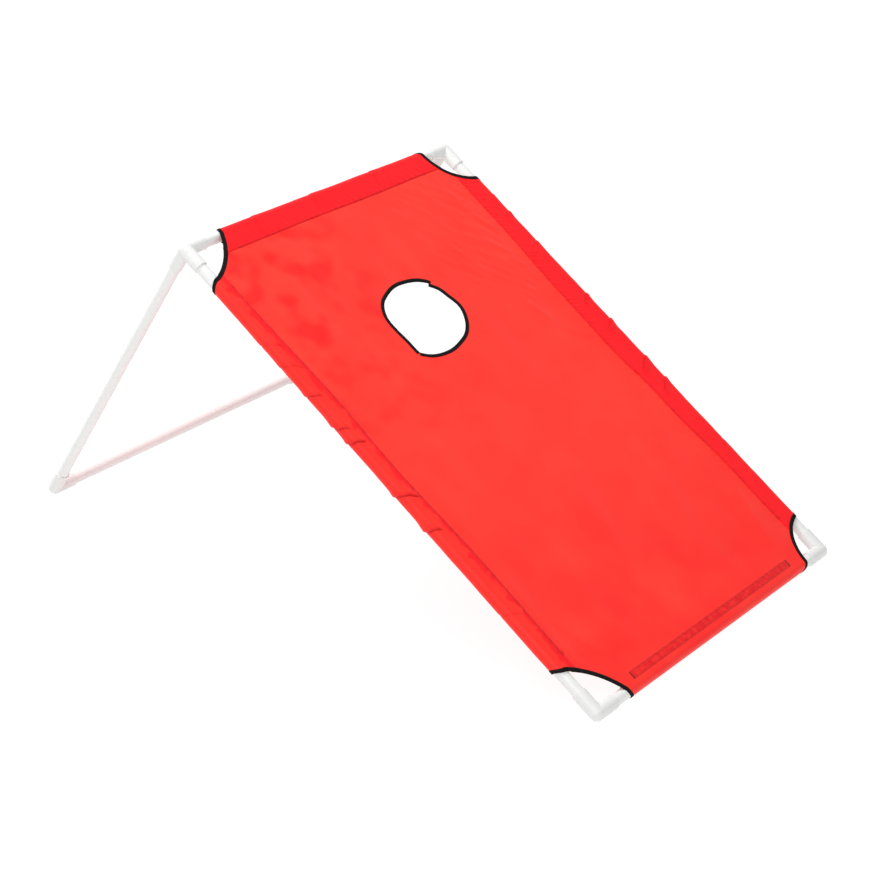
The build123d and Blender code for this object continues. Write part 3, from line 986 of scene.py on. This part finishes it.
def make_hole_binding(name, start, end, line, lift):
    """One length of tape folded over the edge of the hole, from angle to angle in degrees."""
    steps = int((end - start) / 2.2)
    angle = np.radians(np.linspace(start, end, steps))
    inside = smooth_line(line, np.degrees(angle))
    edge = np.stack([HOLE_U + inside * np.cos(angle), HOLE_S + inside * np.sin(angle)], -1)
    tangent = np.gradient(edge, axis=0)
    tangent /= np.linalg.norm(tangent, axis=1)[:, None]
    into = np.stack([tangent[:, 1], -tangent[:, 0]], -1)
    half = CLOTH / 2 + lift
    thick = half + TAPE_THICKNESS
    wide = TAPE_WIDTH
    upper = [
        (wide, half), (wide + 0.05 * MM, half + 0.3 * MM), (wide - 0.25 * MM, thick),
        (wide * 0.5, thick * 1.03), (0.8 * MM, thick), (0.15 * MM, thick * 0.75),
    ]
    lower = [(depth, -rise) for depth, rise in reversed(upper)]
    profile = np.array([*upper, (0, 0), *lower, (TAPE_THICKNESS, -half), (TAPE_THICKNESS, half)])
    plan = edge[:, None] + into[:, None] * profile[None, :, :1]
    level = DECK_MID + deck_rise(plan[..., 0], plan[..., 1])
    points = np.concatenate([plan, (level + profile[None, :, 1])[..., None]], -1)
    row = on_deck_face(*(edge + into * TAPE_ROW).T, thick * 1.03)
    return sew_binding(
        name, points, tube_faces(*points.shape[:2]), unrolled(edge, profile), *upright([row]))


# ---- stitches ----
def stitch_shape(length, width):
    """The points and faces of one stitch: three rings of six between two sunk ends."""
    points = [(-length / 2, 0.0, -0.1 * width)]
    for station, girth in ((-0.36, 0.8), (0.0, 1.0), (0.36, 0.8)):
        for angle in np.arange(6) * pi / 3:
            aside, up = cos(angle) * width / 2 * girth, sin(angle) * width / 2 * girth
            points.append((station * length, aside, up * 0.8 + 0.12 * width * girth))
    points.append((length / 2, 0.0, -0.1 * width))
    faces = []
    for j, k in ((j, (j + 1) % 6) for j in range(6)):
        faces += [(0, 1 + k, 1 + j), (19, 13 + j, 13 + k)]
        faces += [(low + j, low + k, low + 6 + k, low + 6 + j) for low in (1, 7)]
    return np.array(points), faces


def make_stitches(name, rows, thread, pitch=STITCH_PITCH, width=STITCH_WIDTH):
    """Short stitches of thread end to end along rows. A row is its places and its normals."""
    length = pitch * STITCH_LENGTH / STITCH_PITCH
    shape, shape_faces = stitch_shape(length, width)
    points, faces = [], []
    for places, normals in rows:
        travel = travelled(places)

        def on_row(values, way):
            return np.array([np.interp(way, travel, values[:, k]) for k in range(3)])

        for middle_way in np.arange(pitch / 2, travel[-1], pitch):
            forward = on_row(places, middle_way + length / 2) - on_row(places, middle_way - length / 2)
            forward /= np.linalg.norm(forward)
            side = np.cross(on_row(normals, middle_way), forward)
            side /= np.linalg.norm(side)
            leaning = forward * cos(STITCH_LEAN) + side * sin(STITCH_LEAN)
            aside = side * cos(STITCH_LEAN) - forward * sin(STITCH_LEAN)
            base = len(points) * len(shape)
            axes = np.array([leaning, aside, np.cross(forward, side)])
            points.append(on_row(places, middle_way) + shape @ axes)
            faces += [[base + i for i in face] for face in shape_faces]
    return new_piece(name, np.concatenate(points), faces, thread)


def upright(rows):
    """Rows of places on the deck, each with its normals."""
    return [(row, np.tile([0.0, 0.0, 1.0], (len(row), 1))) for row in rows]


def on_deck_face(u, s, lift):
    """Places at a lift over the middle of the deck cloth."""
    return np.stack([u, s, DECK_MID + deck_rise(u, s) + lift], -1)


def seam_row(name, low, high):
    """Places along a sleeve's stitched seam, on its top layer."""
    along = np.arange(low, high, 2 * MM)
    x = seam_distance(name, along) - SEAM_INSET
    total = float(seam_distance(name, along).mean()) + SLEEVE_MID * 5
    height, _ = sleeve_shape(name, along, np.full_like(along, SEAM_INSET / total))
    n = SLEEVE_MID + CLOTH / 2 + height + 0.05 * MM
    return sleeve_place(name, x, along, n)


def bar_tack(row, at_start, reach=11 * MM, spread=0.42):
    """Two short rows that fold back from the end of a seam, like an arrowhead."""
    end, inner = (row[0], row[4]) if at_start else (row[-1], row[-5])
    way = (inner - end) / np.linalg.norm(inner - end)
    aside = np.cross([0.0, 0.0, 1.0], way)
    rows = []
    for sign in (-1, 1):
        leg = way * cos(spread) + aside * sin(spread) * sign
        rows.append(np.array([end, end + leg * reach * 0.5, end + leg * reach]))
    return rows


def make_seam(name, low, high):
    """The stitches of one sleeve's seam, from low to high along it, tacked at both ends."""
    row = seam_row(name, low, high)
    rows = [row, *bar_tack(row, True), *bar_tack(row, False)]
    thread = make_stitches(f"{name}_seam_stitches", upright(rows), RED_THREAD)
    add_to_deck(thread, "seam_thread", f"{name}_seam_thread")
    return thread


def make_strip_stitches():
    """The two rows that hold the loop strip, with a zigzag across each end."""
    low, high = deck_box("strip_threads")
    rows = []
    for s in (low[1] + STITCH_WIDTH / 2, high[1] - STITCH_WIDTH / 2):
        u = np.arange(low[0], high[0], 1.5 * MM)
        rows.append(on_deck_face(u, s + 0.45 * MM * wander(u, 15, 0.012), CLOTH / 2 + 0.05 * MM))
    for end, inward in ((low[0], 1), (high[0], -1)):
        t = np.arange(9)
        s = np.where(t % 2 == 0, low[1], high[1])
        rows.append(on_deck_face(end + inward * t * 0.35 * MM, s, CLOTH / 2 + 0.08 * MM))
    thread = make_stitches("strip_stitches", upright(rows), RED_THREAD)
    add_to_deck(thread, "seam_thread", "strip_threads")
    return thread


def make_strip(node_name, name, seed):
    """One closure strip: a flat tape with rounded selvedges, a little wavy along its length."""
    low, high = deck_box(node_name)
    _, middle_s, middle_n = (low + high) / 2
    _, half_s, half_n = (high - low) / 2
    turns = np.linspace(0, 2 * pi, 21)[:-1]
    roundness = 0.35
    across = np.sign(np.cos(turns)) * np.abs(np.cos(turns)) ** roundness
    up = np.sign(np.sin(turns)) * np.abs(np.sin(turns)) ** roundness
    u = np.linspace(low[0], high[0], 110)[:, None]
    wave = 0.3 * MM * wander(u, seed, 0.07)
    u, s, n = np.broadcast_arrays(u, middle_s + across * half_s + wave, middle_n + up * half_n)
    piece = new_piece(
        name, np.stack([u, s, n], -1).reshape(-1, 3), tube_faces(*u.shape), CLOSURE_TAPE,
        np.stack([u, s + n], -1).reshape(-1, 2))
    finish_solid(piece)
    add_to_deck(piece, "closure_tape", node_name)
    return piece


# ---- plastic ----
def finish_plastic():
    """Materials and shading of the tubes, ferrules and fittings that stay as modelled."""
    for name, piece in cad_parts.items():
        if not any(word in name for word in ("rail", "leg", "foot_bar", "ferrule", "elbow")):
            continue
        piece.data.materials.clear()
        piece.data.materials.append(FITTING_WHITE if "elbow" in name else TUBE_WHITE)
        piece.data.shade_smooth()
        piece.data.set_sharp_from_angle(angle=radians(35))


# ---- stage, light and camera ----
def make_floor():
    """A white floor out to the horizon, with its own glow so that shadows stay faint."""
    size, glow = 300.0, 0.92
    mesh = bpy.data.meshes.new("floor")
    corners = [(-size, -size, 0), (size, -size, 0), (size, size, 0), (-size, size, 0)]
    mesh.from_pydata(corners, [], [(0, 1, 2, 3)])
    made, _, shader = material("floor", (0.14, 0.14, 0.14), 0.9, specular=0.1)
    shader.inputs["Emission Color"].default_value = (1, 1, 1, 1)
    shader.inputs["Emission Strength"].default_value = glow
    mesh.materials.append(made)
    add_object("floor", mesh)


def area_light(name, place, size, power):
    """A round soft light aimed at the middle of the board."""
    light = bpy.data.lights.new(name, "AREA")
    light.shape = "DISK"
    light.size = size
    light.energy = power
    lamp = add_object(name, light)
    lamp.location = place
    lamp.rotation_euler = (Vector((0, 0, 0.2)) - Vector(place)).to_track_quat("-Z", "Y").to_euler()


def make_light():
    """A plain white world, a key light from behind and a fill from the low end's left."""
    world = bpy.data.worlds.new("studio")
    world.use_nodes = True
    background = world.node_tree.nodes["Background"]
    background.inputs["Color"].default_value = (1, 1, 1, 1)
    background.inputs["Strength"].default_value = 0.60
    bpy.context.scene.world = world
    area_light("key", (-0.4, 1.6, 3.0), size=1.2, power=84)
    area_light("fill", (-2.4, -1.6, 2.2), size=2.4, power=35)
    bpy.context.scene.view_settings.view_transform = "Standard"


def make_camera():
    """A long lens from the low end's left, looking down on the deck."""
    camera = bpy.data.cameras.new("camera")
    camera.sensor_width = 36.0
    camera.lens = 93.06
    camera.clip_start = 0.05
    camera.clip_end = 1000.0
    place = (-2.4446, -1.9302, 1.6309)
    right = (0.62189, -0.78301, 0.01251)
    up = (0.32875, 0.27554, 0.90333)
    back = (-0.71076, -0.55765, 0.42877)
    eye = add_object("camera", camera)
    eye.matrix_world = Matrix.Translation(place) @ Matrix((right, up, back)).transposed().to_4x4()
    bpy.context.scene.camera = eye


# ---- the whole ----
finish_plastic()
deck_sheet, deck_flat, deck_cut_area = make_deck_cloth()
sleeve_pieces = {name: make_sleeve(name) for name in SLEEVES}
for cut_corner in CUTS:
    make_corner_binding(cut_corner)
hole_pieces = [
    *make_hole_binding("hole_binding_upper", 39, 216, HOLE_UPPER, 0.25 * MM),
    *make_hole_binding("hole_binding_lower", -144, 41, HOLE_LOWER, 0.0),
]
seam_rows = {"top": (-0.222, 0.214), "left": (0.088, 0.797), "right": (0.072, 0.792)}
seams = {name: make_seam(name, *ends) for name, ends in seam_rows.items()}
strip_stitches = make_strip_stitches()
loop_strip = make_strip("loop_strip", "loop_tape", 31)
hook_strip = make_strip("hook_strip", "hook_tape", 32)

make_floor()
make_light()
make_camera()
